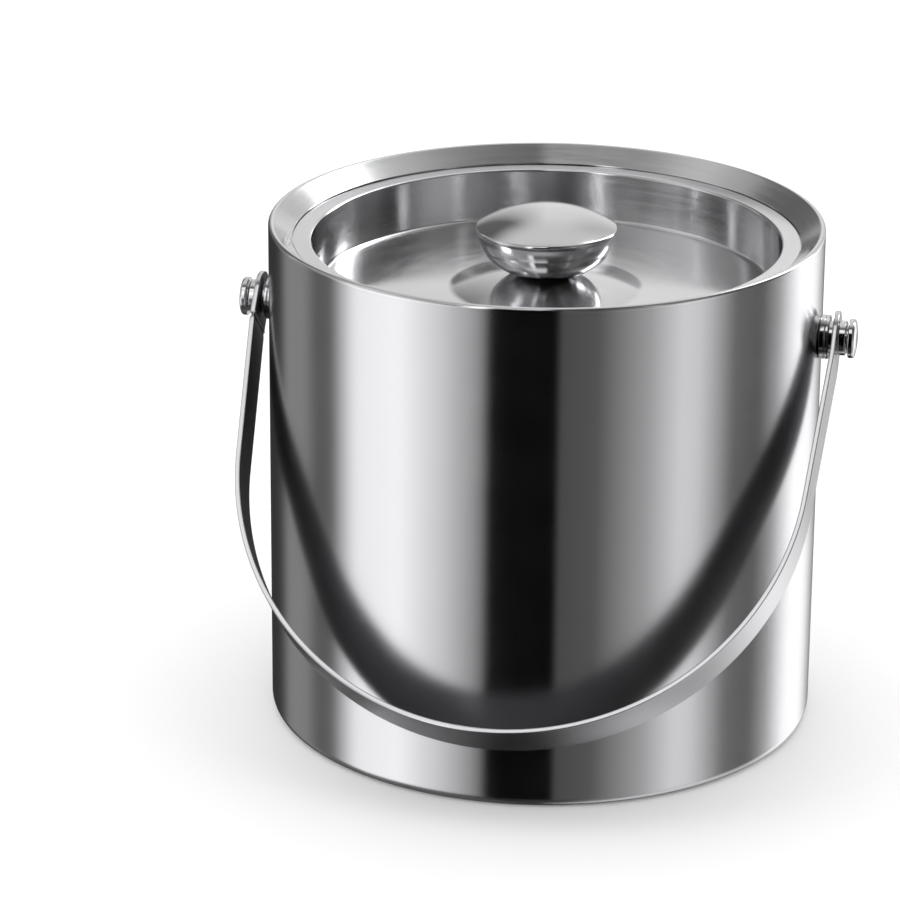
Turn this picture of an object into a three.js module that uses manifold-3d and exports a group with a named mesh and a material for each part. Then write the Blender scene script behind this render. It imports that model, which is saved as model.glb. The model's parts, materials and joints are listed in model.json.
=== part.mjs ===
// A double-walled steel ice bucket with a swinging bail handle and a recessed, lift-off lid.
// Millimetres, +Z up. The origin is at the centre of the base, +X runs along the handle's two
// pivots, and the handle hangs on the -Y side.
import * as THREE from "three";
import { mergeVertices } from "three/addons/utils/BufferGeometryUtils.js";
import Module from "manifold-3d";

const wasm = await Module();
wasm.setup();

// Driving dimensions.
const SHEET = 0.8; // thickness of every drawn steel sheet
const GAP = 0.3; // clearance between pieces that touch
const RING_STEPS = 40; // facets round the bucket and the lid
const KNOB_STEPS = 28; // facets round the knob
const SMALL_STEPS = 16; // facets round the turned parts

const BUCKET = { radius: 90, height: 167, cornerRadius: 3.5, footInner: 77 };
const LIP = { radius: 1.1, drop: 1.8 };
const SEAT = { outer: 82.3, inner: 77.5, funnelZ: 161.6, seatZ: 160.1 };
const LINER = { floorZ: 12, cornerRadius: 12 };
const BASE = { flatRadius: 74, joggle: 1.3, rimRadius: 82 };

const LID = { radius: 81.9, topZ: 161.2, wallTop: 76.1, wallFoot: 74.2, floorZ: 144.3, edge: 0.9, corner: 2.8 };
const BOSS = { radius: 31, flatRadius: 7, topZ: 149.4 };
const KNOB = { radius: 23, seamZ: 163.3, domeZ: 171.5, edge: 1.1, edgeZ: 164.3, footRadius: 6.4 };

const PIVOT_Z = 134;
const STRAP = { halfSpan: 95.2, thickness: 1.6, width: 17.2, tiltDeg: 42.2, holeRadius: 3.4 };
const STRAP_LEG = { eye: 9, length: 50, leanDeg: 3.8 };

// The turned stud on which the handle swings, along +X: a grooved collar outside the shell, the
// journal for the strap, and threaded ends for the nut inside and the cap nut outside.
const STUD = {
  collar: 7.1, groove: 6.5, grooveAt: 91.6, shoulder: 5.2, journal: 3.1, tail: 2.5,
  tailEnd: 83.8, wall: BUCKET.radius + GAP, collarEnd: 93, noseEnd: 100.2,
};
const INNER_WASHER = { radius: 5, thickness: 1, face: 88.8 };
const INNER_NUT = { acrossFlats: 8, thickness: 2.7 };
const OUTER_WASHER = { radius: 5.6, thickness: 1.9 };
const CAP_NUT = { radius: 6.3, neck: 5, length: 3, neckLength: 0.5, dome: 0.8, rounding: 0.6 };

const KNOB_SCREW = { shank: 2, hole: 2.4, head: 3.8, headHeight: 2.2, length: 9.5 };
const KNOB_WASHER = { radius: 4.8, thickness: 0.8 };
const KNOB_INSERT = { radius: 4.5, height: 9 };

// Points along an arc in a profile plane, from one angle to another, in degrees.
function arc(x, y, radius, fromDeg, toDeg, steps) {
  const points = [];
  for (let i = 0; i <= steps; i++) {
    const angle = THREE.MathUtils.degToRad(fromDeg + ((toDeg - fromDeg) * i) / steps);
    points.push(new THREE.Vector2(x + radius * Math.cos(angle), y + radius * Math.sin(angle)));
  }
  return points;
}

const at = (x, y) => new THREE.Vector2(x, y);

// The line moved to its left by a distance, mitred at each bend.
function offsetLine(line, distance) {
  return line.map((point, i) => {
    const before = line[Math.max(i - 1, 0)];
    const after = line[Math.min(i + 1, line.length - 1)];
    const into = (i > 0 ? point.clone().sub(before) : after.clone().sub(point)).normalize();
    const out = (i < line.length - 1 ? after.clone().sub(point) : into.clone()).normalize();
    const left = at(-(into.y + out.y), into.x + out.x).normalize();
    const mitre = distance / Math.max(0.3, left.dot(at(-into.y, into.x)));
    return point.clone().add(left.multiplyScalar(mitre));
  });
}

// A closed outline of a drawn sheet, from the line of its show face, with the steel on the left.
const sheetOutline = (line) => [...line, ...offsetLine(line, SHEET).reverse()];

// A solid turned about Z from a closed outline of radius and height.
function turned(outline, steps) {
  const onAxis = outline.some((p) => p.x < 1e-6);
  const points = outline.map((p) => at(p.x < 1e-6 ? 0 : p.x, p.y));
  if (THREE.ShapeUtils.area(points) < 0) points.reverse();
  if (onAxis) {
    // the outline starts and ends on the axis, so the run between those two points is the axis itself
    while (!(points[0].x === 0 && points[points.length - 1].x === 0)) points.push(points.shift());
  } else {
    points.push(points[0].clone());
  }
  return new THREE.LatheGeometry(points, steps).rotateX(Math.PI / 2);
}

// A rectangle of a turned part's outline, as radius and height limits.
const band = (inner, outer, low, high) => [at(inner, low), at(outer, low), at(outer, high), at(inner, high)];

// A closed three.js geometry as a manifold-3d solid.
function solidOf(geometry) {
  const bare = geometry.clone();
  bare.deleteAttribute("normal");
  bare.deleteAttribute("uv");
  const merged = mergeVertices(bare, 1e-4);
  return new wasm.Manifold(
    new wasm.Mesh({
      numProp: 3,
      vertProperties: new Float32Array(merged.attributes.position.array),
      triVerts: new Uint32Array(merged.index.array),
    }),
  );
}

function geometryOf(solid) {
  const mesh = solid.getMesh();
  const geometry = new THREE.BufferGeometry();
  geometry.setAttribute("position", new THREE.BufferAttribute(new Float32Array(mesh.vertProperties), 3));
  geometry.setIndex(new THREE.BufferAttribute(new Uint32Array(mesh.triVerts), 1));
  geometry.computeVertexNormals();
  return geometry;
}

const steel = (color, roughness) => new THREE.MeshStandardMaterial({ color, roughness, metalness: 1 });
const brushedSteel = steel(0xb9bbbf, 0.32);
const satinSteel = steel(0xb2b4b8, 0.38);
const polishedSteel = steel(0xd2d4d8, 0.12);
const zincSteel = steel(0xa6a8aa, 0.45);

const bucket = new THREE.Group();

function add(name, geometry, material) {
  const mesh = new THREE.Mesh(geometry, material);
  mesh.name = name;
  bucket.add(mesh);
  return mesh;
}

// The outer shell: a straight drawn wall with a rounded foot turned in under the base, and one
// hole on each side for a pivot stud.
function outerShell() {
  const { radius, cornerRadius, footInner } = BUCKET;
  const top = BUCKET.height - LIP.drop - GAP;
  const line = [
    at(footInner, 0),
    ...arc(radius - cornerRadius, cornerRadius, cornerRadius, -90, 0, 4),
    at(radius, top),
  ];
  const wall = solidOf(turned(sheetOutline(line), RING_STEPS));
  const drill = new THREE.CylinderGeometry(STUD.tail + GAP, STUD.tail + GAP, 2 * radius + 10, SMALL_STEPS);
  drill.rotateZ(Math.PI / 2).translate(0, 0, PIVOT_Z);
  return geometryOf(wall.subtract(solidOf(drill)));
}

// The inner liner: a rolled lip over the shell's edge, a funnel down to the lid's seat, and the cup
// that holds the ice.
function innerLiner() {
  const { radius, height } = BUCKET;
  const lipX = radius - LIP.radius;
  const lipY = height - LIP.radius;
  const slope = Math.atan2(height - SEAT.funnelZ, radius - SEAT.outer);
  const funnelNormalDeg = 90 + THREE.MathUtils.radToDeg(slope);
  const { floorZ, cornerRadius } = LINER;
  const seatEdge = 0.8;
  const line = [
    at(radius, height - LIP.drop),
    ...arc(lipX, lipY, LIP.radius, 0, funnelNormalDeg, 4),
    at(SEAT.outer, SEAT.funnelZ),
    at(SEAT.outer, SEAT.seatZ),
    ...arc(SEAT.inner + seatEdge, SEAT.seatZ - seatEdge, seatEdge, 90, 180, 2),
    ...arc(SEAT.inner - cornerRadius, floorZ + cornerRadius, cornerRadius, 0, -90, 4),
    at(0, floorZ),
  ];
  return turned(sheetOutline(line), RING_STEPS);
}

// The base plate: flat under the bucket, with its rim stepped up to lap over the shell's foot.
function basePlate() {
  const { flatRadius, joggle, rimRadius } = BASE;
  const rimZ = SHEET + GAP;
  const line = [at(0, 0), at(flatRadius, 0), at(flatRadius + joggle, rimZ), at(rimRadius, rimZ)];
  return turned(sheetOutline(line), RING_STEPS);
}

// The lid: one drawn pan with a flat flange, a sunk floor, and a low domed boss that carries the knob.
function lidPan() {
  const { radius, topZ, wallTop, wallFoot, floorZ, edge, corner } = LID;
  const boss = [];
  const bossSteps = 4;
  for (let i = 0; i <= bossSteps; i++) {
    const r = BOSS.radius + (BOSS.flatRadius - BOSS.radius) * (i / bossSteps);
    const fall = (r ** 2 - BOSS.flatRadius ** 2) / (BOSS.radius ** 2 - BOSS.flatRadius ** 2);
    boss.push(at(r, BOSS.topZ - (BOSS.topZ - floorZ) * fall));
  }
  const line = [
    at(radius, topZ),
    ...arc(wallTop + edge, topZ - edge, edge, 90, 180, 2),
    ...arc(wallFoot - corner, floorZ + corner, corner, 0, -90, 3),
    ...boss,
    at(KNOB_SCREW.hole, BOSS.topZ),
  ];
  return turned(sheetOutline(line), RING_STEPS);
}

// One stud, standing along Z.
function pivotStud() {
  const strapFace = STRAP.halfSpan - STRAP.thickness / 2 - GAP;
  const washerFace = STRAP.halfSpan + STRAP.thickness / 2 + GAP;
  const bevel = 0.3;
  const { collar, groove, grooveAt, wall, collarEnd } = STUD;
  return turned(
    [
      at(0, STUD.tailEnd), at(STUD.tail, STUD.tailEnd), at(STUD.tail, wall),
      at(collar - bevel, wall), at(collar, wall + bevel), at(collar, grooveAt),
      at(groove, grooveAt + bevel), at(collar, grooveAt + 2 * bevel),
      at(collar, collarEnd - bevel), at(collar - bevel, collarEnd),
      at(STUD.shoulder, collarEnd), at(STUD.shoulder, strapFace),
      at(STUD.journal, strapFace), at(STUD.journal, washerFace),
      at(STUD.tail, washerFace), at(STUD.tail, STUD.noseEnd), at(0, STUD.noseEnd),
    ],
    SMALL_STEPS,
  );
}

const washer = (size, bore, low) => turned(band(bore, size.radius, low, low + size.thickness), SMALL_STEPS);

// A hexagonal nut with a plain bore, standing along Z from a height.
function hexNut(acrossFlats, bore, thickness, low) {
  const corner = acrossFlats / 2 / Math.cos(Math.PI / 6);
  const outline = new THREE.Shape();
  for (let i = 0; i < 6; i++) {
    const angle = (i * Math.PI) / 3;
    const x = corner * Math.cos(angle);
    const y = corner * Math.sin(angle);
    if (i === 0) outline.moveTo(x, y);
    else outline.lineTo(x, y);
  }
  outline.closePath();
  outline.holes.push(new THREE.Path().absarc(0, 0, bore, 0, 2 * Math.PI, true));
  const nut = new THREE.ExtrudeGeometry(outline, { depth: thickness, bevelEnabled: false, curveSegments: 8 });
  return nut.translate(0, 0, low);
}

// The cap nut outside the strap: a narrow neck, then a round head with a domed face.
function capNut(low) {
  const { radius, neck, length, neckLength, dome, rounding } = CAP_NUT;
  const bore = STUD.tail + GAP;
  const boreEnd = STUD.noseEnd + GAP;
  const head = low + neckLength;
  const end = low + length;
  return turned(
    [
      at(bore, low), at(neck, low), at(neck, head), at(radius - rounding, head), at(radius, head + rounding),
      at(radius, end - dome - rounding), at(radius - rounding, end - dome), at(radius * 0.5, end - dome * 0.2),
      at(0, end), at(0, boreEnd), at(bore, boreEnd),
    ],
    SMALL_STEPS,
  );
}

// Every piece of one pivot, turned from Z to lie along +X or -X at the pivot's height.
function pivotParts(side, sign) {
  const ontoAxis = (geometry) => geometry.rotateY((sign * Math.PI) / 2).translate(0, 0, PIVOT_Z);
  const bore = STUD.tail + GAP;
  const washerLow = STRAP.halfSpan + STRAP.thickness / 2 + 2 * GAP;
  const capLow = washerLow + OUTER_WASHER.thickness + GAP;
  const innerLow = INNER_WASHER.face - INNER_WASHER.thickness;
  const nutLow = innerLow - GAP - INNER_NUT.thickness;
  add(`pivot_stud_${side}`, ontoAxis(pivotStud()), polishedSteel);
  add(`stud_washer_${side}`, ontoAxis(washer(INNER_WASHER, bore, innerLow)), zincSteel);
  add(`stud_nut_${side}`, ontoAxis(hexNut(INNER_NUT.acrossFlats, bore, INNER_NUT.thickness, nutLow)), zincSteel);
  add(`handle_washer_${side}`, ontoAxis(washer(OUTER_WASHER, bore, washerLow)), polishedSteel);
  add(`cap_nut_${side}`, ontoAxis(capNut(capLow)), polishedSteel);
}

// The bail handle: one flat strap with an upright eye and a leg on each side, the legs leaning in
// a little to a round bend. It is drawn hanging straight down from the pivots and then tilted
// forward until it rests on the shell.
function bailHandle() {
  const { halfSpan, thickness, width, holeRadius } = STRAP;
  const lean = THREE.MathUtils.degToRad(STRAP_LEG.leanDeg);
  const bendSteps = 28;
  const eyeSteps = 8;
  const overrun = width;
  const legEnd = at(
    halfSpan - STRAP_LEG.length * Math.sin(lean),
    -STRAP_LEG.eye - STRAP_LEG.length * Math.cos(lean),
  );
  const bendRadius = legEnd.x / Math.cos(lean);
  const bendCentre = legEnd.y + bendRadius * Math.sin(lean);
  const middle = [
    at(halfSpan, overrun),
    at(halfSpan, -STRAP_LEG.eye),
    ...arc(0, bendCentre, bendRadius, -STRAP_LEG.leanDeg, STRAP_LEG.leanDeg - 180, bendSteps),
    at(-halfSpan, -STRAP_LEG.eye),
    at(-halfSpan, overrun),
  ];
  const outline = [...offsetLine(middle, thickness / 2), ...offsetLine(middle, -thickness / 2).reverse()];
  const strap = new THREE.ExtrudeGeometry(new THREE.Shape(outline), { depth: width, bevelEnabled: false });
  strap.translate(0, 0, -width / 2).rotateX(Math.PI / 2);

  // the strap's side view, with its round eyes and pivot holes, as Y and Z
  const reach = bendRadius - bendCentre + width;
  const sideView = new THREE.Shape([
    ...arc(0, 0, width / 2, 0, 180, eyeSteps),
    at(-width / 2, -reach),
    at(width / 2, -reach),
  ]);
  sideView.holes.push(new THREE.Path().absarc(0, 0, holeRadius, 0, 2 * Math.PI, true));
  const span = 2 * (halfSpan + thickness);
  const side = new THREE.ExtrudeGeometry(sideView, { depth: span, bevelEnabled: false, curveSegments: 10 });
  side.translate(0, 0, -span / 2).rotateX(Math.PI / 2).rotateZ(Math.PI / 2);

  const shape = geometryOf(solidOf(strap).intersect(solidOf(side)));
  return shape.rotateX(-THREE.MathUtils.degToRad(STRAP.tiltDeg)).translate(0, 0, PIVOT_Z);
}

// The knob is two drawn halves round a threaded insert, pulled down on the lid's boss by a screw.
function knobCap() {
  const { radius, seamZ, domeZ, edge, edgeZ } = KNOB;
  const domeEdgeDeg = 58.9; // where the rounded edge meets the dome without a crease
  const edgeArc = arc(radius - edge, edgeZ, edge, 0, domeEdgeDeg, 3);
  const start = edgeArc[edgeArc.length - 1];
  const rise = domeZ - start.y;
  const domeRadius = (start.x ** 2 + rise ** 2) / (2 * rise);
  const dome = arc(0, domeZ - domeRadius, domeRadius, domeEdgeDeg, 90, 5).slice(1);
  return turned(sheetOutline([at(radius, seamZ + GAP), ...edgeArc, ...dome]), KNOB_STEPS);
}

function knobBowl() {
  const { radius, seamZ, footRadius } = KNOB;
  const footZ = BOSS.topZ + GAP;
  const bowl = [];
  const bowlSteps = 8;
  for (let i = 0; i <= bowlSteps; i++) {
    const angle = (Math.PI / 2) * (i / bowlSteps);
    const r = footRadius + (radius - 2 * GAP - footRadius) * Math.sin(angle);
    bowl.push(at(r, seamZ - (seamZ - footZ) * Math.cos(angle)));
  }
  return turned(sheetOutline([at(KNOB_SCREW.hole, footZ), ...bowl]), KNOB_STEPS);
}

function knobInsert() {
  const low = BOSS.topZ + SHEET + 2 * GAP;
  const boreEnd = low + KNOB_INSERT.height - 1;
  return turned(
    [
      at(KNOB_SCREW.hole, low), at(KNOB_INSERT.radius, low),
      at(KNOB_INSERT.radius, low + KNOB_INSERT.height), at(0, low + KNOB_INSERT.height),
      at(0, boreEnd), at(KNOB_SCREW.hole, boreEnd),
    ],
    SMALL_STEPS,
  );
}

function knobScrew(headTop) {
  const { shank, head, headHeight, length } = KNOB_SCREW;
  const rounding = 0.8;
  return turned(
    [
      at(0, headTop - headHeight), at(head - rounding, headTop - headHeight),
      at(head, headTop - headHeight + rounding), at(head, headTop),
      at(shank, headTop), at(shank, headTop + length), at(0, headTop + length),
    ],
    SMALL_STEPS,
  );
}

add("outer_shell", outerShell(), brushedSteel);
add("inner_liner", innerLiner(), satinSteel);
add("base_plate", basePlate(), satinSteel);
pivotParts("right", 1);
pivotParts("left", -1);
add("bail_handle", bailHandle(), brushedSteel);

add("lid_pan", lidPan(), satinSteel);
add("knob_cap", knobCap(), polishedSteel);
add("knob_bowl", knobBowl(), polishedSteel);
add("knob_insert", knobInsert(), zincSteel);
const washerTop = BOSS.topZ - SHEET - GAP;
add("knob_washer", washer(KNOB_WASHER, KNOB_SCREW.hole, washerTop - KNOB_WASHER.thickness), zincSteel);
add("knob_screw", knobScrew(washerTop - KNOB_WASHER.thickness - GAP), zincSteel);

export default bucket;
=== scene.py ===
"""The looks of a double-walled steel ice bucket: brushed drum, sunk lid, polished knob, flat bail handle."""

import json
from math import asin, atan2, ceil, cos, pi, radians, sin, tan

import bpy
from mathutils import Matrix, Vector


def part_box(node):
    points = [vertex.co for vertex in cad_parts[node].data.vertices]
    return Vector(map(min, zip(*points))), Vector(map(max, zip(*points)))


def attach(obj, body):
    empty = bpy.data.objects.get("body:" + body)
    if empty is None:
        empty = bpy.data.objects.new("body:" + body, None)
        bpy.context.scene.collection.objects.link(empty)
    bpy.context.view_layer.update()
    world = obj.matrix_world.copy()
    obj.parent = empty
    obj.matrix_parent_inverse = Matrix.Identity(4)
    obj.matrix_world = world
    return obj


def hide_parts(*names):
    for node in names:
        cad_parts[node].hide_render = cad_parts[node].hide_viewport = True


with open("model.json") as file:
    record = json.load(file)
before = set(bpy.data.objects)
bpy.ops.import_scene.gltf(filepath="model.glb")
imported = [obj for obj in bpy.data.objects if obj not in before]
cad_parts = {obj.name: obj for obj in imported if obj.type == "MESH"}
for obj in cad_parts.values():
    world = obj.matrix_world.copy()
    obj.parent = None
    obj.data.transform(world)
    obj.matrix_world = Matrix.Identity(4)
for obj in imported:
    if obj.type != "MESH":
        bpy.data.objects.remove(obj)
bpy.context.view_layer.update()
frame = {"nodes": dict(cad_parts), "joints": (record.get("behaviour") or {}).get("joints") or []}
scene = bpy.context.scene

MM = 0.001

# ---------------------------------------------------------------- sizes, in millimetres

SHEET = 0.8
FIT = 0.3  # the gap between two pieces that fit together

WALL_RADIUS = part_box("outer_shell")[1].x / MM
RIM_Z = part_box("inner_liner")[1].z / MM
FOOT_ROUNDING = 3.5
FOOT_INNER = 77
LIP_ROUNDING = 1.1
LIP_SEAM = RIM_Z - 1.6
BASE_FLAT = 74
BASE_STEP = 75.3
BASE_RADIUS = 82
BASE_ROUNDING = 0.8

SEAT_OUTER = 82.3
SEAT_INNER = 77.5
FUNNEL_Z = 161.6
SEAT_Z = 160.1
SEAT_ROUNDING = 0.9
FUNNEL_ROUNDING = 0.25
CUP_FLOOR_Z = 12
CUP_ROUNDING = 12

LID_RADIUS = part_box("lid_pan")[1].x / MM
LID_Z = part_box("lid_pan")[1].z / MM
RECESS_TOP = 76.1
RECESS_FOOT = 74.2
RECESS_EDGE_ROUNDING = 0.9
RECESS_FOOT_ROUNDING = 1.4
LID_FLOOR_Z = 144.3
BOSS_RADIUS = 31
BOSS_START = BOSS_RADIUS - 1.2  # where the dome takes over from the rounding at its foot
BOSS_ROUNDING = 6
BOSS_FLAT = 7
BOSS_Z = 149.4

KNOB_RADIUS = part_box("knob_cap")[1].x / MM
KNOB_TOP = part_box("knob_cap")[1].z / MM
KNOB_SEAM = 163.3
KNOB_FOOT = 6.4
KNOB_EDGE = 1.1
KNOB_EDGE_RISE = 1.0
KNOB_EDGE_TURN = radians(58.9)
SCREW_HOLE = 2.4

hinge = next(joint for joint in frame["joints"] if joint["name"] == "bail_swing")
PIVOT_Z = hinge["pos_m"][2] / MM
STRAP_SPAN = 95.2
STRAP_THICK = 1.6
STRAP_WIDTH = 17.2
STRAP_TILT = radians(42.2)
STRAP_HOLE = 3.4
STRAP_EASE = 0.28
EYE_LENGTH = 9
LEG_LENGTH = 50
LEG_LEAN = radians(3.8)
LEG_BLEND = 3.0  # half the length over which a leg bends away from its eye

# ---------------------------------------------------------------- outlines

HOLD = 0.08  # how far past a rounding the flats get a point of their own, which keeps them flat
SHARPEST_MITRE = 0.3


def arc(x, y, radius, start, end, steps):
    """Points along an arc, from one angle to another, in radians."""
    angles = [start + (end - start) * i / steps for i in range(steps + 1)]
    return [Vector((x + radius * cos(a), y + radius * sin(a))) for a in angles]


def rounded(corners, step=radians(7.5)):
    """A line of points through corners (x, y) or (x, y, rounding)."""
    points = []
    for i, corner in enumerate(corners):
        here = Vector(corner[:2])
        radius = corner[2] if len(corner) > 2 else 0
        if not radius:
            points.append(here)
            continue
        back = (Vector(corners[i - 1][:2]) - here).normalized()
        ahead = (Vector(corners[i + 1][:2]) - here).normalized()
        half = back.angle(ahead) / 2
        reach = radius / tan(half)
        middle = here + (back + ahead).normalized() * (radius / sin(half))
        first = here + back * reach - middle
        turn = pi - 2 * half
        side = 1 if back.x * first.y - back.y * first.x > 0 else -1
        start = atan2(first.y, first.x)
        steps = max(2, ceil(turn / step))
        points.append(here + back * (reach + HOLD))
        points += arc(middle.x, middle.y, radius, start, start + side * turn, steps)
        points.append(here + ahead * (reach + HOLD))
    return points


def beside(line, distance):
    """The line moved to its left by a distance, mitred at each bend."""
    moved = []
    for i, point in enumerate(line):
        into = point - line[i - 1] if i else line[1] - point
        out = line[i + 1] - point if i < len(line) - 1 else into
        into, out = into.normalized(), out.normalized()
        left = Vector((-into.y - out.y, into.x + out.x)).normalized()
        spread = left.dot(Vector((-into.y, into.x)))
        moved.append(point + left * (distance / max(SHARPEST_MITRE, spread)))
    return moved


def sheet_outline(line, thickness=SHEET):
    """A closed outline of sheet steel that lies on the left of its show face."""
    return line + beside(line, thickness)[::-1]


# ---------------------------------------------------------------- turned pieces

CREASE = radians(32)  # bends sharper than this stay crisp edges
WIDE_FACETS = 256  # how many facets go once round the wide pieces, the knob and the pivots
KNOB_FACETS = 160
PIVOT_FACETS = 96
HUB = 1.0  # radius of the small circle that carries an outline round
CLOSE = 1e-6  # points nearer than this, in metres, become one
ON_AXIS = 1e-6  # an outline that comes nearer to the axis than this, in millimetres, ends there


def socket(tree, name, kind, way="INPUT", value=None):
    """Adds an input or output to a node group."""
    made = tree.interface.new_socket(name, in_out=way, socket_type=kind)
    if value is not None:
        made.default_value = value


def build_turning_tree():
    """Geometry nodes that carry an outline once round the Z axis."""
    tree = bpy.data.node_groups.new("Turned piece", "GeometryNodeTree")
    socket(tree, "Outline", "NodeSocketGeometry")
    socket(tree, "Facets", "NodeSocketInt", value=192)
    socket(tree, "Finish", "NodeSocketMaterial")
    socket(tree, "Piece", "NodeSocketGeometry", "OUTPUT")
    add, link = tree.nodes.new, tree.links.new
    given, result = add("NodeGroupInput"), add("NodeGroupOutput")
    outline = add("GeometryNodeMeshToCurve")
    ring = add("GeometryNodeCurvePrimitiveCircle")
    upright = add("GeometryNodeSetCurveNormal")
    skin = add("GeometryNodeCurveToMesh")
    closed = add("GeometryNodeMergeByDistance")
    smooth = add("GeometryNodeSetShadeSmooth")
    real = add("GeometryNodeRealizeInstances")
    finish = add("GeometryNodeSetMaterial")
    upright.mode = "Z_UP"
    ring.inputs["Radius"].default_value = HUB * MM
    closed.inputs["Distance"].default_value = CLOSE
    link(given.outputs["Outline"], outline.inputs["Mesh"])
    link(given.outputs["Facets"], ring.inputs["Resolution"])
    link(ring.outputs["Curve"], upright.inputs["Curve"])
    link(upright.outputs["Curve"], skin.inputs["Curve"])
    link(outline.outputs["Curve"], skin.inputs["Profile Curve"])
    link(skin.outputs["Mesh"], closed.inputs["Geometry"])
    link(closed.outputs["Geometry"], smooth.inputs["Geometry"])
    link(smooth.outputs["Geometry"], real.inputs["Geometry"])
    link(real.outputs["Geometry"], finish.inputs["Geometry"])
    link(given.outputs["Finish"], finish.inputs["Material"])
    link(finish.outputs["Geometry"], result.inputs["Piece"])
    return tree


def settle(obj):
    """Replaces an object's mesh by what its modifiers make of it, with the faces pointing out."""
    bpy.context.view_layer.update()
    seen = obj.evaluated_get(bpy.context.evaluated_depsgraph_get())
    mesh = bpy.data.meshes.new_from_object(seen)
    obj.modifiers.clear()
    obj.data = mesh
    mesh.name = obj.name
    volume = 0
    for face in mesh.polygons:
        corners = [mesh.vertices[i].co for i in face.vertices]
        for second, third in zip(corners[1:], corners[2:]):
            volume += corners[0].dot(second.cross(third))
    if volume < 0:
        mesh.flip_normals()
    mesh.set_sharp_from_angle(angle=CREASE)


def set_inputs(modifier, **values):
    """Sets a geometry nodes modifier's inputs, by the names of its sockets."""
    for item in modifier.node_group.interface.items_tree:
        if item.item_type == "SOCKET" and item.in_out == "INPUT" and item.name in values:
            modifier[item.identifier] = values[item.name]


def turned(name, outline, finish, body, nodes, facets=192, place=None):
    """A piece turned from an outline of (radius, height), standing for CAD nodes of one body."""
    closed = min(point.x for point in outline) > ON_AXIS
    count = len(outline)
    edges = [(i, (i + 1) % count) for i in range(count if closed else count - 1)]
    mesh = bpy.data.meshes.new(name)
    mesh.from_pydata([((p.x - HUB) * MM, -p.y * MM, 0) for p in outline], edges, [])
    obj = bpy.data.objects.new(name, mesh)
    scene.collection.objects.link(obj)
    modifier = obj.modifiers.new("Turned piece", "NODES")
    modifier.node_group = TURNING
    set_inputs(modifier, Facets=facets, Finish=finish)
    settle(obj)
    if place:
        obj.data.transform(place)
    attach(obj, body)
    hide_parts(*nodes)


# ---------------------------------------------------------------- shared shader groups


STREAKS = 0.22  # how many streaks there are for each fine line


def shader_group(name, inputs, outputs):
    """A shader node group with its named inputs and outputs."""
    tree = bpy.data.node_groups.new(name, "ShaderNodeTree")
    for label, kind, value in inputs:
        socket(tree, label, kind, value=value)
    for label, kind in outputs:
        socket(tree, label, kind, "OUTPUT")
    return tree, tree.nodes.new("NodeGroupInput"), tree.nodes.new("NodeGroupOutput")


def math_node(tree, operation, *values):
    """A Math node whose inputs are sockets or numbers. Returns its output."""
    node = tree.nodes.new("ShaderNodeMath")
    node.operation = operation
    for i, value in enumerate(values):
        if isinstance(value, (int, float)):
            node.inputs[i].default_value = value
        else:
            tree.links.new(value, node.inputs[i])
    return node.outputs[0]


def brush_noise(tree, place):
    """Soft random lines, read at a place that was stretched along them."""
    noise = tree.nodes.new("ShaderNodeTexNoise")
    noise.inputs["Scale"].default_value = 1.0
    noise.inputs["Detail"].default_value = 3.0
    noise.inputs["Roughness"].default_value = 0.65
    tree.links.new(place, noise.inputs["Vector"])
    return noise.outputs[0]


def build_turned_brushing():
    """Fine lines that run round the Z axis, as on steel that was spun against an abrasive."""
    tree, given, result = shader_group(
        "Turned brushing",
        [("Position", "NodeSocketVector", None), ("Lines per metre", "NodeSocketFloat", 1500.0),
         ("Breaks per turn", "NodeSocketFloat", 3.0)],
        [("Lines", "NodeSocketFloat"), ("Streaks", "NodeSocketFloat")],
    )
    link = tree.links.new
    split = tree.nodes.new("ShaderNodeSeparateXYZ")
    link(given.outputs["Position"], split.inputs[0])
    x, y, z = split.outputs
    squares = math_node(tree, "ADD", math_node(tree, "MULTIPLY", x, x), math_node(tree, "MULTIPLY", y, y))
    radius = math_node(tree, "SQRT", squares)
    safe = math_node(tree, "MAXIMUM", radius, 1e-5)
    across = math_node(tree, "ADD", radius, math_node(tree, "MULTIPLY", z, 1.7))
    for output, share in (("Lines", 1.0), ("Streaks", STREAKS)):
        combine = tree.nodes.new("ShaderNodeCombineXYZ")
        for i, part in enumerate((x, y)):
            around = math_node(tree, "DIVIDE", part, safe)
            link(math_node(tree, "MULTIPLY", around, given.outputs["Breaks per turn"]), combine.inputs[i])
        scaled = math_node(tree, "MULTIPLY", across, given.outputs["Lines per metre"])
        link(math_node(tree, "MULTIPLY", scaled, share), combine.inputs[2])
        link(brush_noise(tree, combine.outputs[0]), result.inputs[output])
    return tree


def build_strap_brushing():
    """Fine lines that run along a strap, from its own length and width map."""
    tree, given, result = shader_group(
        "Strap brushing",
        [("Map", "NodeSocketVector", None), ("Lines per metre", "NodeSocketFloat", 1800.0),
         ("Breaks per metre", "NodeSocketFloat", 25.0)],
        [("Lines", "NodeSocketFloat"), ("Streaks", "NodeSocketFloat")],
    )
    link = tree.links.new
    split = tree.nodes.new("ShaderNodeSeparateXYZ")
    link(given.outputs["Map"], split.inputs[0])
    for output, share in (("Lines", 1.0), ("Streaks", STREAKS)):
        combine = tree.nodes.new("ShaderNodeCombineXYZ")
        along = math_node(tree, "MULTIPLY", split.outputs[0], given.outputs["Breaks per metre"])
        link(along, combine.inputs[0])
        scaled = math_node(tree, "MULTIPLY", split.outputs[1], given.outputs["Lines per metre"])
        link(math_node(tree, "MULTIPLY", scaled, share), combine.inputs[1])
        link(brush_noise(tree, combine.outputs[0]), result.inputs[output])
    return tree


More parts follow.
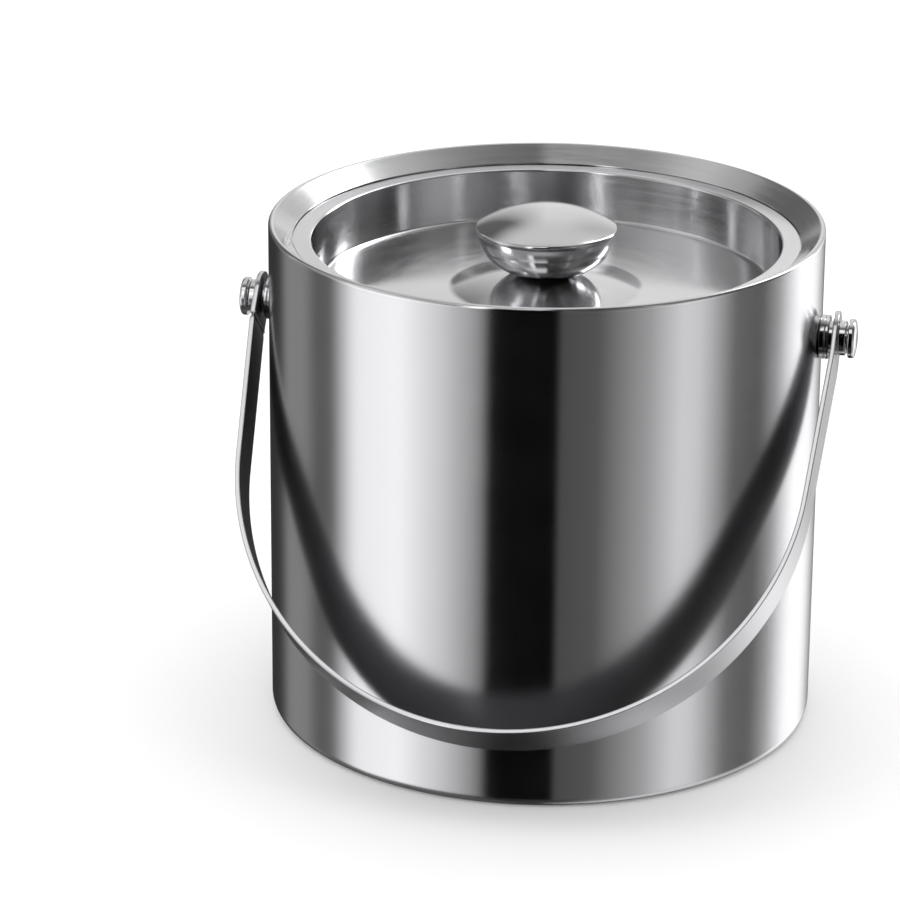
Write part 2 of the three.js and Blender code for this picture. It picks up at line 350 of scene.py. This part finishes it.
def build_handling():
    """Faint, large patches where hands and cloths have dulled a polish a little."""
    tree, given, result = shader_group(
        "Handling marks",
        [("Position", "NodeSocketVector", None), ("Patches per metre", "NodeSocketFloat", 60.0)],
        [("Dulling", "NodeSocketFloat")],
    )
    noise = tree.nodes.new("ShaderNodeTexNoise")
    noise.inputs["Detail"].default_value = 4.0
    tree.links.new(given.outputs["Position"], noise.inputs["Vector"])
    tree.links.new(given.outputs["Patches per metre"], noise.inputs["Scale"])
    tree.links.new(noise.outputs[0], result.inputs["Dulling"])
    return tree


TURNING = build_turning_tree()
TURNED_BRUSHING = build_turned_brushing()
STRAP_BRUSHING = build_strap_brushing()
HANDLING = build_handling()


HANDLING_ROUGH = 0.06  # how far handling marks change the roughness and the shade
HANDLING_SHADE = 0.05
STREAK_WEIGHT, LINE_WEIGHT = 0.6, 0.4
ACROSS_THE_LINES = 0.25  # a quarter turn, so that highlights are drawn out across the brushing


def steel(name, tint, roughness, stretch=0.0, brushing=None, lines=(), depth=0.0, spread=0.0):
    """A steel finish. stretch is how far the brushing draws out its highlights."""
    material = bpy.data.materials.new(name)
    material.use_nodes = True
    tree = material.node_tree
    link = tree.links.new
    shader = tree.nodes["Principled BSDF"]
    shader.inputs["Metallic"].default_value = 1.0
    shader.inputs["Anisotropic"].default_value = stretch
    where = tree.nodes.new("ShaderNodeTexCoord")
    handling = tree.nodes.new("ShaderNodeGroup")
    handling.node_tree = HANDLING
    link(where.outputs["Object"], handling.inputs["Position"])
    dulling = handling.outputs["Dulling"]
    rough = math_node(tree, "MULTIPLY_ADD", dulling, HANDLING_ROUGH, roughness - HANDLING_ROUGH / 2)
    shade = math_node(tree, "MULTIPLY_ADD", dulling, HANDLING_SHADE, 1 - HANDLING_SHADE / 2)
    if brushing:
        fine = tree.nodes.new("ShaderNodeGroup")
        fine.node_tree = brushing
        if brushing == STRAP_BRUSHING:
            link(where.outputs["UV"], fine.inputs["Map"])
        else:
            link(where.outputs["Object"], fine.inputs["Position"])
        for label, value in lines:
            fine.inputs[label].default_value = value
        thin = math_node(tree, "MULTIPLY", fine.outputs["Lines"], LINE_WEIGHT)
        both = math_node(tree, "MULTIPLY_ADD", fine.outputs["Streaks"], STREAK_WEIGHT, thin)
        uneven = math_node(tree, "SUBTRACT", both, 0.5)
        rough = math_node(tree, "MULTIPLY_ADD", uneven, spread, rough)
        shade = math_node(tree, "MULTIPLY_ADD", uneven, spread * 1.2, shade)
        bump = tree.nodes.new("ShaderNodeBump")
        bump.inputs["Strength"].default_value = 1.0
        bump.inputs["Distance"].default_value = depth
        link(both, bump.inputs["Height"])
        link(bump.outputs["Normal"], shader.inputs["Normal"])
        tangent = tree.nodes.new("ShaderNodeTangent")
        if brushing == STRAP_BRUSHING:
            tangent.direction_type = "UV_MAP"
            tangent.uv_map = "strap"
        else:
            tangent.direction_type = "RADIAL"
            tangent.axis = "Z"
        link(tangent.outputs[0], shader.inputs["Tangent"])
        shader.inputs["Anisotropic Rotation"].default_value = ACROSS_THE_LINES
    link(rough, shader.inputs["Roughness"])
    colour = tree.nodes.new("ShaderNodeCombineColor")
    for i, part in enumerate(tint):
        link(math_node(tree, "MULTIPLY", shade, part), colour.inputs[i])
    link(colour.outputs[0], shader.inputs["Base Color"])
    return material


WALL_STEEL = steel("brushed wall steel", (0.66, 0.66, 0.675), 0.17, stretch=1.0, brushing=TURNED_BRUSHING,
                   lines=[("Lines per metre", 2400.0)], depth=0.0000006, spread=0.03)
INNER_STEEL = steel("satin inner steel", (0.70, 0.70, 0.71), 0.155, stretch=1.0, brushing=TURNED_BRUSHING,
                    lines=[("Lines per metre", 1300.0)], depth=0.0000022, spread=0.16)
STRAP_STEEL = steel("brushed strap steel", (0.64, 0.64, 0.655), 0.17, stretch=0.8, brushing=STRAP_BRUSHING,
                    depth=0.000001, spread=0.08)
# The strap's inner face, towards the wall: the same steel, rougher, with painted shade as its very dark
# colour.
STRAP_INSIDE_PAINTED_SHADE = steel("dull inner strap steel with painted shade", (0.13, 0.13, 0.135), 0.34, stretch=0.8,
                     brushing=STRAP_BRUSHING, depth=0.000001, spread=0.08)
POLISHED_STEEL = steel("polished steel", (0.66, 0.66, 0.67), 0.09)
FASTENER_STEEL = steel("plain fastener steel", (0.56, 0.56, 0.57), 0.36)

# ---------------------------------------------------------------- bucket


def make_shell():
    line = rounded([(FOOT_INNER, 0), (WALL_RADIUS, 0, FOOT_ROUNDING), (WALL_RADIUS, LIP_SEAM - 0.02)])
    turned("drum_wall", sheet_outline(line), WALL_STEEL, "bucket", ["outer_shell"], WIDE_FACETS)


def make_liner():
    middle = Vector((WALL_RADIUS - LIP_ROUNDING, RIM_Z - LIP_ROUNDING))
    away = middle - Vector((SEAT_OUTER, FUNNEL_Z))
    slope = atan2(away.y, away.x) + asin(LIP_ROUNDING / away.length)
    lip = arc(middle.x, middle.y, LIP_ROUNDING, 0, slope + pi / 2, 16)
    hem = [Vector((WALL_RADIUS, LIP_SEAM)), Vector((WALL_RADIUS, middle.y - HOLD))]
    line = hem + lip + rounded([
        tuple(lip[-1] - Vector((cos(slope), sin(slope))) * HOLD),
        (SEAT_OUTER, FUNNEL_Z, FUNNEL_ROUNDING),
        (SEAT_OUTER, SEAT_Z),
        (SEAT_INNER, SEAT_Z, SEAT_ROUNDING),
        (SEAT_INNER, CUP_FLOOR_Z, CUP_ROUNDING),
        (0, CUP_FLOOR_Z),
    ])
    turned("lined_cup", sheet_outline(line), INNER_STEEL, "bucket", ["inner_liner"], WIDE_FACETS)


def make_base():
    rim = SHEET + FIT
    line = rounded([
        (0, 0),
        (BASE_FLAT, 0, BASE_ROUNDING),
        (BASE_STEP, rim, BASE_ROUNDING),
        (BASE_RADIUS, rim),
    ])
    turned("base_cover", sheet_outline(line), INNER_STEEL, "bucket", ["base_plate"])


# ---------------------------------------------------------------- lid and knob


def boss_outline(steps=20):
    """The low dome in the middle of the lid, from its foot up to the flat that the knob stands on."""
    dome = []
    for i in range(steps + 1):
        radius = BOSS_START + (BOSS_FLAT - BOSS_START) * i / steps
        fall = (radius ** 2 - BOSS_FLAT ** 2) / (BOSS_RADIUS ** 2 - BOSS_FLAT ** 2)
        dome.append(Vector((radius, BOSS_Z - (BOSS_Z - LID_FLOOR_Z) * fall)))
    return dome


def make_lid():
    dome = boss_outline()
    line = rounded([
        (LID_RADIUS, LID_Z),
        (RECESS_TOP, LID_Z, RECESS_EDGE_ROUNDING),
        (RECESS_FOOT, LID_FLOOR_Z, RECESS_FOOT_ROUNDING),
        (BOSS_RADIUS, LID_FLOOR_Z, BOSS_ROUNDING),
        tuple(dome[0]),
    ]) + dome[1:] + [Vector((SCREW_HOLE, BOSS_Z))]
    turned("sunk_lid", sheet_outline(line), INNER_STEEL, "lid", ["lid_pan"], WIDE_FACETS)


def make_knob_top():
    edge = arc(KNOB_RADIUS - KNOB_EDGE, KNOB_SEAM + KNOB_EDGE_RISE, KNOB_EDGE, 0, KNOB_EDGE_TURN, 10)
    rise = KNOB_TOP - edge[-1].y
    radius = (edge[-1].x ** 2 + rise ** 2) / (2 * rise)
    middle = KNOB_TOP - radius
    dome = arc(0, middle, radius, atan2(edge[-1].y - middle, edge[-1].x), pi / 2, 32)
    cap = [Vector((KNOB_RADIUS, KNOB_SEAM + FIT))] + edge + dome[1:-1] + [Vector((0, KNOB_TOP))]
    turned("knob_top", sheet_outline(cap), POLISHED_STEEL, "lid", ["knob_cap"], KNOB_FACETS)


def make_knob_under(steps=28):
    foot_z = BOSS_Z + FIT
    bowl = [Vector((SCREW_HOLE, foot_z))]
    for i in range(steps + 1):
        angle = pi / 2 * i / steps
        radius = KNOB_FOOT + (KNOB_RADIUS - 2 * FIT - KNOB_FOOT) * sin(angle)
        bowl.append(Vector((radius, KNOB_SEAM - (KNOB_SEAM - foot_z) * cos(angle))))
    turned("knob_under", sheet_outline(bowl), POLISHED_STEEL, "lid", ["knob_bowl"], KNOB_FACETS)


# ---------------------------------------------------------------- pivots

COLLAR_START = WALL_RADIUS + 0.05  # distances along a pivot, from the bucket's axis
STUD_START, STUD_END = 83.8, 100.2
STUD_RADIUS = 2.5
STRAP_INNER = STRAP_SPAN - STRAP_THICK / 2
STRAP_OUTER = STRAP_SPAN + STRAP_THICK / 2
COLLAR_RADIUS = 7.1
COLLAR_END = 93.0
GROOVE_RADIUS, GROOVE_AT, GROOVE_HALF = 6.5, 91.8, 0.2
SPACER_RADIUS = 5.2
PIN_RADIUS = 3.1
WASHER_HOLE, WASHER_RADIUS, WASHER_END = 2.8, 5.6, 98.4
NUT_NECK, NUT_START, NUT_NECK_END = 5.0, 98.8, 99.2
NUT_RADIUS, NUT_SHOULDER, NUT_CROWN, NUT_END = 6.3, 101.2, 3.2, 101.8


def make_pivot(side, sign):
    place = Matrix.Translation((0, 0, PIVOT_Z * MM)) @ Matrix.Rotation(sign * pi / 2, 4, "Y")
    pin_start, pin_end = STRAP_INNER - FIT / 2, STRAP_OUTER + FIT
    stud = rounded([
        (0, STUD_START),
        (STUD_RADIUS, STUD_START, 0.2),
        (STUD_RADIUS, COLLAR_START),
        (COLLAR_RADIUS, COLLAR_START, 0.25),
        (COLLAR_RADIUS, GROOVE_AT - GROOVE_HALF, 0.15),
        (GROOVE_RADIUS, GROOVE_AT, 0.1),
        (COLLAR_RADIUS, GROOVE_AT + GROOVE_HALF, 0.15),
        (COLLAR_RADIUS, COLLAR_END, 0.35),
        (SPACER_RADIUS, COLLAR_END, 0.1),
        (SPACER_RADIUS, pin_start, 0.2),
        (PIN_RADIUS, pin_start),
        (PIN_RADIUS, pin_end),
        (STUD_RADIUS, pin_end),
        (STUD_RADIUS, STUD_END),
        (0, STUD_END),
    ])
    turned(f"stud_{side}", stud, POLISHED_STEEL, "bucket", [f"pivot_stud_{side}"], PIVOT_FACETS, place)
    washer_start = STRAP_OUTER + FIT / 2
    washer = rounded([
        (WASHER_HOLE, washer_start),
        (WASHER_RADIUS, washer_start, 0.3),
        (WASHER_RADIUS, WASHER_END, 0.3),
        (WASHER_HOLE, WASHER_END),
    ])
    turned(f"outer_washer_{side}", washer, POLISHED_STEEL, "bucket", [f"handle_washer_{side}"],
           PIVOT_FACETS, place)
    nut = rounded([
        (WASHER_HOLE, NUT_START),
        (NUT_NECK, NUT_START, 0.1),
        (NUT_NECK, NUT_NECK_END, 0.1),
        (NUT_RADIUS, NUT_NECK_END, 0.4),
        (NUT_RADIUS, NUT_SHOULDER, 0.9),
        (NUT_CROWN, NUT_END - 0.05, 1.5),
        (0, NUT_END),
        (0, STUD_END + FIT),
        (WASHER_HOLE, STUD_END + FIT),
    ])
    turned(f"domed_nut_{side}", nut, POLISHED_STEEL, "bucket", [f"cap_nut_{side}"], PIVOT_FACETS, place)


# ---------------------------------------------------------------- handle

STRAP_STATIONS = 180
EYE_MARGIN = 0.5  # the narrow band that keeps the strap flat round its eyes and holes


def strap_path():
    """The right half of the strap's middle line, as it hangs: its corner, its leg and its bow's circle."""
    corner = Vector((STRAP_SPAN, -EYE_LENGTH))
    down = Vector((0, -1))
    lean = Vector((-sin(LEG_LEAN), -cos(LEG_LEAN)))
    leg_end = corner + lean * LEG_LENGTH
    radius = leg_end.x / cos(LEG_LEAN)
    middle = Vector((0, leg_end.y + radius * sin(LEG_LEAN)))
    return corner, down, lean, leg_end, radius, middle


def strap_point(length):
    """The middle line's place and heading at a length measured from the right pivot."""
    corner, down, lean, leg_end, radius, middle = strap_path()
    bend = radius * (pi - 2 * LEG_LEAN)
    half = EYE_LENGTH + LEG_LENGTH + bend / 2
    mirrored = length > half
    along = 2 * half - length if mirrored else length
    if along < EYE_LENGTH - LEG_BLEND:
        point, heading = Vector((STRAP_SPAN, -along)), down
    elif along < EYE_LENGTH + LEG_BLEND:
        turn_radius = 2 * LEG_BLEND / LEG_LEAN
        angle = (along - EYE_LENGTH + LEG_BLEND) / turn_radius
        start = Vector((STRAP_SPAN, -EYE_LENGTH + LEG_BLEND))
        point = start + Vector((-turn_radius * (1 - cos(angle)), -turn_radius * sin(angle)))
        heading = Vector((-sin(angle), -cos(angle)))
    elif along < EYE_LENGTH + LEG_LENGTH:
        point, heading = corner + lean * (along - EYE_LENGTH), lean
    else:
        angle = -LEG_LEAN - (along - EYE_LENGTH - LEG_LENGTH) / radius
        point = middle + radius * Vector((cos(angle), sin(angle)))
        heading = Vector((sin(angle), -cos(angle)))
    if mirrored:
        point, heading = Vector((-point.x, point.y)), Vector((heading.x, -heading.y))
    return point, heading


def strap_total():
    """The length of the strap's middle line from one pivot to the other."""
    radius = strap_path()[4]
    return 2 * (EYE_LENGTH + LEG_LENGTH) + radius * (pi - 2 * LEG_LEAN)


class FlatSheet:
    """Points and faces of a sheet that is still flat, in millimetres."""

    def __init__(self):
        self.points = []
        self.faces = []

    def add(self, x, y):
        self.points.append((x, y, 0))
        return len(self.points) - 1

    def join(self, first, second, closed=False):
        """Faces between two rows of as many points."""
        count = len(first)
        for i in range(count if closed else count - 1):
            j = (i + 1) % count
            self.faces.append((first[i], second[i], second[j], first[j]))


def add_eye(sheet, centre, way, column):
    """The ring between a pin hole and the strap's end, joined to the strap's first column of points."""
    half = STRAP_WIDTH / 2
    end_steps = 40
    side_steps = 4
    outer = []
    for i in range(end_steps + 1):
        angle = pi / 2 + pi * i / end_steps
        outer.append(sheet.add(centre + way * half * cos(angle), half * sin(angle)))
    for i in range(1, side_steps):
        outer.append(sheet.add(centre + way * EYE_LENGTH * i / side_steps, -half))
    outer += column
    for i in range(side_steps - 1, 0, -1):
        outer.append(sheet.add(centre + way * EYE_LENGTH * i / side_steps, half))
    middle = Vector((centre, 0))
    ways_out = [Vector(sheet.points[i][:2]) - middle for i in outer]
    rings = []
    for reach in (STRAP_HOLE, STRAP_HOLE + EYE_MARGIN):
        rings.append([sheet.add(*(middle + out.normalized() * reach)) for out in ways_out])
    rings.append([sheet.add(*(middle + out - out.normalized() * EYE_MARGIN)) for out in ways_out])
    rings.append(outer)
    for inner, outside in zip(rings, rings[1:]):
        sheet.join(inner, outside, closed=True)


def flat_strap():
    """The strap's sheet, laid out flat along X with an eye at each end."""
    half = STRAP_WIDTH / 2
    rows = [-half, -half + 0.5, -half + 1.5, -half / 2, 0, half / 2, half - 1.5, half - 0.5, half]
    length = strap_total()
    sheet = FlatSheet()
    columns = []
    for i in range(STRAP_STATIONS + 1):
        x = EYE_LENGTH + (length - 2 * EYE_LENGTH) * i / STRAP_STATIONS
        columns.append([sheet.add(x, y) for y in rows])
    for first, second in zip(columns, columns[1:]):
        sheet.join(first, second)
    add_eye(sheet, 0, 1, columns[0])
    add_eye(sheet, length, -1, columns[-1])
    return sheet


def map_strap(mesh):
    """Gives the flat strap its finishes, the inner face a rougher one with painted shade, and its map of
    length and width.
    """
    mesh.materials.clear()
    mesh.materials.append(STRAP_STEEL)
    mesh.materials.append(STRAP_INSIDE_PAINTED_SHADE)
    for face in mesh.polygons:
        face.use_smooth = True
        # faces that point down in the flat layout become the inner face, which gets the steel with painted
        # shade
        face.material_index = 1 if face.normal.z < -0.9 else 0
    layer = mesh.uv_layers.new(name="strap")
    for loop in mesh.loops:
        place = mesh.vertices[loop.vertex_index].co
        layer.data[loop.index].uv = (place.x, place.y)


def bend_strap(mesh):
    """Bends the flat strap along its path and tilts it to where it rests on the wall."""
    length = strap_total()
    tilt = Matrix.Translation((0, 0, PIVOT_Z * MM)) @ Matrix.Rotation(-STRAP_TILT, 4, "X")
    for vertex in mesh.vertices:
        x, y, z = vertex.co / MM
        point, heading = strap_point(min(max(x, 0), length))
        past = min(x, 0) + max(x - length, 0)
        out = Vector((-heading.y, heading.x))
        spot = point + heading * past + out * z
        vertex.co = tilt @ (Vector((spot.x, -y, spot.y)) * MM)


def make_strap():
    """A flat strap with a round eye at each end, laid out flat and then bent along its path."""
    sheet = flat_strap()
    mesh = bpy.data.meshes.new("strap")
    mesh.from_pydata([(x * MM, y * MM, z) for x, y, z in sheet.points], [], sheet.faces)
    mesh.update()
    obj = bpy.data.objects.new("handle_strap", mesh)
    scene.collection.objects.link(obj)
    thick = obj.modifiers.new("thickness", "SOLIDIFY")
    thick.thickness = STRAP_THICK * MM
    thick.offset = 0
    edges = obj.modifiers.new("eased edges", "BEVEL")
    edges.width = STRAP_EASE * MM
    edges.segments = 4
    edges.limit_method = "ANGLE"
    edges.angle_limit = radians(50)
    edges.use_clamp_overlap = False
    settle(obj)
    map_strap(obj.data)
    bend_strap(obj.data)
    settle(obj)
    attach(obj, "bail")
    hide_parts("bail_handle")


# ---------------------------------------------------------------- floor, light and camera

VIEW_AZIMUTH = 10
# Brightness of the tent's strips, by degrees to the right of the direction that the camera stands in.
# A wall that stands upright mirrors the low ones, and a lid or a sloping rim the high ones.
LOW_STRIPS = [(-180, 0.04), (-150, 0.04), (-142, 0.08), (-134, 0.30), (-118, 0.30), (-108, 0.12),
              (-98, 0.16), (-90, 0.80), (-84, 1.30), (-62, 1.45), (-40, 0.85), (-25, 0.22), (-22, 0.0),
              (5, 0.0), (7, 0.10), (22, 0.13), (44, 0.50), (58, 0.95), (66, 0.90), (84, 0.18), (100, 0.12),
              (112, 0.45), (120, 1.00), (128, 1.45), (146, 1.35), (158, 0.60), (170, 0.10)]
HIGH_STRIPS = [(-180, 0.95), (-168, 0.55), (-160, 0.16), (-140, 0.14), (-130, 0.20), (-125, 0.75),
               (-120, 0.30), (-98, 0.45), (-88, 0.80), (-86, 1.30), (-84, 0.80), (-62, 0.70), (-36, 0.30),
               (-30, 1.90), (-26, 1.90), (-22, 0.0), (5, 0.0), (8, 0.12), (22, 0.08), (42, 0.22),
               (46, 0.60), (50, 0.22), (66, 0.25), (84, 0.08), (112, 0.10), (120, 0.80), (142, 0.80),
               (154, 0.65), (168, 0.90)]
DOWN_STRIPS = [(-180, 0.03), (-120, 0.14), (-60, 0.10), (-20, 0.03), (15, 0.06), (45, 0.30), (80, 0.90),
               (120, 0.80), (160, 0.10)]
BRIGHTEST = 2.0  # the full scale of the strips
SPOT_AT, SPOT_HALF, SPOT_BRIGHT = 130, 6, 8.0  # one narrow lamp, behind on the right
ROOF_BACK, ROOF_FRONT = 0.80, 0.12  # the tent's roof, behind the piece and before it
PANEL_LEFT, PANEL_RIGHT = 1.3, 0.04  # the tent's two panels high over the camera
PLAIN = 1.3  # what all light but the mirrored meets

# Each part of the tent gives way to the next between two heights, or between two places from side to side
# or back to front. All are parts of the way from the middle of the tent to its skin.
DOWN_TO_LOW = (-0.75, -0.50)
LOW_TO_HIGH = (-0.12, 0.12)
SPOT_FOOT = (0.0, 0.15)
HIGH_TO_ROOF = (0.60, 0.90)
ROOF_TO_FRONT = (-0.30, 0.20)
PANEL_HEIGHT = (0.72, 0.80)
PANEL_FRONT = (0.22, 0.34)
PANEL_SIDE = (-0.02, 0.06)

FLOOR_HALF = 6.0  # in metres
FLOOR_DROP = 0.0002

CAMERA_DISTANCE = 1.357  # in metres, from a point on the bucket's axis
CAMERA_AIM_Z = 0.083
CAMERA_RISE = radians(20.76)
CAMERA_LENS = 164.3
CAMERA_PAN = radians(1.39)
CAMERA_DIP = radians(20.59)
CAMERA_ROLL = radians(0.37)


def strip_ramp(tree, share, strips):
    """Brightness round the horizon, from stops of (degrees, brightness)."""
    ramp = tree.nodes.new("ShaderNodeValToRGB")
    stops = ramp.color_ramp.elements
    for i, (angle, bright) in enumerate(strips + [(180, strips[0][1])]):
        if i == 0:
            stop = stops[0]
        elif angle == 180:
            stop = stops[-1]
        else:
            stop = stops.new((angle + 180) / 360)
        grey = bright / BRIGHTEST
        stop.position = (angle + 180) / 360
        stop.color = (grey, grey, grey, 1)
    tree.links.new(share, ramp.inputs[0])
    return math_node(tree, "MULTIPLY", ramp.outputs[0], BRIGHTEST)


def rise_over(tree, value, low, high):
    """Zero below one value, one above another, smooth between."""
    node = tree.nodes.new("ShaderNodeMapRange")
    node.interpolation_type = "SMOOTHSTEP"
    node.inputs["From Min"].default_value = low
    node.inputs["From Max"].default_value = high
    tree.links.new(value, node.inputs["Value"])
    return node.outputs[0]


def blend_values(tree, first, second, share):
    """The first value where the share is zero and the second where it is one."""
    return math_node(tree, "MULTIPLY_ADD", math_node(tree, "SUBTRACT", second, first), share, first)


def distance_along(tree, x, y, angle):
    """How far a place lies in a level direction, given by its angle from the X axis."""
    return math_node(tree, "MULTIPLY_ADD", x, cos(angle), math_node(tree, "MULTIPLY", y, sin(angle)))


def add_strips(tree, share, height):
    """The strips round the horizon, with the narrow lamp among them."""
    low = strip_ramp(tree, share, LOW_STRIPS)
    high = strip_ramp(tree, share, HIGH_STRIPS)
    down = strip_ramp(tree, share, DOWN_STRIPS)
    low = blend_values(tree, down, low, rise_over(tree, height, *DOWN_TO_LOW))
    tent = blend_values(tree, low, high, rise_over(tree, height, *LOW_TO_HIGH))
    off = math_node(tree, "ABSOLUTE", math_node(tree, "SUBTRACT", share, (SPOT_AT + 180) / 360))
    edge = rise_over(tree, off, SPOT_HALF * 0.6 / 360, SPOT_HALF * 1.4 / 360)
    near = math_node(tree, "SUBTRACT", 1.0, edge)
    lamp = math_node(tree, "MULTIPLY", rise_over(tree, height, *SPOT_FOOT), near)
    return math_node(tree, "MULTIPLY_ADD", lamp, SPOT_BRIGHT, tent)


def add_roof(tree, tent, x, y, height, toward):
    """The tent's roof and the two panels in it over the camera."""
    side = distance_along(tree, x, y, toward + pi / 2)
    front = distance_along(tree, x, y, toward)
    roof = blend_values(tree, ROOF_BACK, ROOF_FRONT, rise_over(tree, front, *ROOF_TO_FRONT))
    tent = blend_values(tree, tent, roof, rise_over(tree, height, *HIGH_TO_ROOF))
    panel = blend_values(tree, PANEL_LEFT, PANEL_RIGHT, rise_over(tree, side, *PANEL_SIDE))
    over = rise_over(tree, height, *PANEL_HEIGHT)
    over_camera = math_node(tree, "MULTIPLY", rise_over(tree, front, *PANEL_FRONT), over)
    return blend_values(tree, tent, panel, over_camera)


def make_world():
    """A light tent that only mirrored light sees. All other light meets plain white."""
    world = bpy.data.worlds.new("light tent")
    scene.world = world
    world.cycles.sampling_method = "NONE"  # aimed sampling would mix the plain white into the mirrored dark
    world.use_nodes = True
    tree = world.node_tree
    where = tree.nodes.new("ShaderNodeTexCoord")
    split = tree.nodes.new("ShaderNodeSeparateXYZ")
    tree.links.new(where.outputs["Generated"], split.inputs[0])
    x, y, height = split.outputs
    toward = radians(VIEW_AZIMUTH - 90)
    turn = math_node(tree, "ARCTAN2", y, x)
    turns = math_node(tree, "MULTIPLY_ADD", turn, 1 / (2 * pi), 0.5 - toward / (2 * pi))
    share = math_node(tree, "FRACT", turns)
    tent = add_strips(tree, share, height)
    tent = add_roof(tree, tent, x, y, height, toward)
    glossy = tree.nodes.new("ShaderNodeLightPath").outputs["Is Glossy Ray"]
    background = tree.nodes["Background"]
    background.inputs["Color"].default_value = (1, 1, 1, 1)
    tree.links.new(blend_values(tree, PLAIN, tent, glossy), background.inputs["Strength"])


def make_floor():
    mesh = bpy.data.meshes.new("floor")
    ways = ((-1, -1), (1, -1), (1, 1), (-1, 1))
    corners = [(x * FLOOR_HALF, y * FLOOR_HALF, -FLOOR_DROP) for x, y in ways]
    mesh.from_pydata(corners, [], [(0, 1, 2, 3)])
    floor = bpy.data.objects.new("floor", mesh)
    scene.collection.objects.link(floor)
    material = bpy.data.materials.new("pale floor")
    material.use_nodes = True
    shader = material.node_tree.nodes["Principled BSDF"]
    shader.inputs["Base Color"].default_value = (0.93, 0.93, 0.93, 1)
    shader.inputs["Roughness"].default_value = 0.9
    shader.inputs["Specular IOR Level"].default_value = 0.1
    mesh.materials.append(material)
    floor.visible_glossy = False


def make_camera():
    azimuth = radians(VIEW_AZIMUTH)
    data = bpy.data.cameras.new("camera")
    data.lens = CAMERA_LENS
    data.sensor_width = 36
    camera = bpy.data.objects.new("camera", data)
    scene.collection.objects.link(camera)
    back = CAMERA_DISTANCE * cos(CAMERA_RISE)
    up = CAMERA_DISTANCE * sin(CAMERA_RISE) + CAMERA_AIM_Z
    place = Matrix.Rotation(azimuth, 4, "Z") @ Vector((0, -back, up))
    camera.matrix_world = (Matrix.Translation(place) @ Matrix.Rotation(azimuth + CAMERA_PAN, 4, "Z")
                           @ Matrix.Rotation(pi / 2 - CAMERA_DIP, 4, "X")
                           @ Matrix.Rotation(CAMERA_ROLL, 4, "Z"))
    scene.camera = camera


def finish_fasteners():
    """A plain finish for the fasteners that keep the shape they came with."""
    for node in ("stud_washer_right", "stud_washer_left", "stud_nut_right", "stud_nut_left",
                 "knob_insert", "knob_washer", "knob_screw"):
        for item in frame["nodes"][node].material_slots:
            item.material = FASTENER_STEEL


make_camera()
make_world()
make_floor()
make_shell()
make_liner()
make_base()
make_lid()
make_knob_top()
make_knob_under()
for side, sign in (("right", 1), ("left", -1)):
    make_pivot(side, sign)
make_strap()
finish_fasteners()

scene.view_settings.view_transform = "Standard"

bpy.context.view_layer.update()
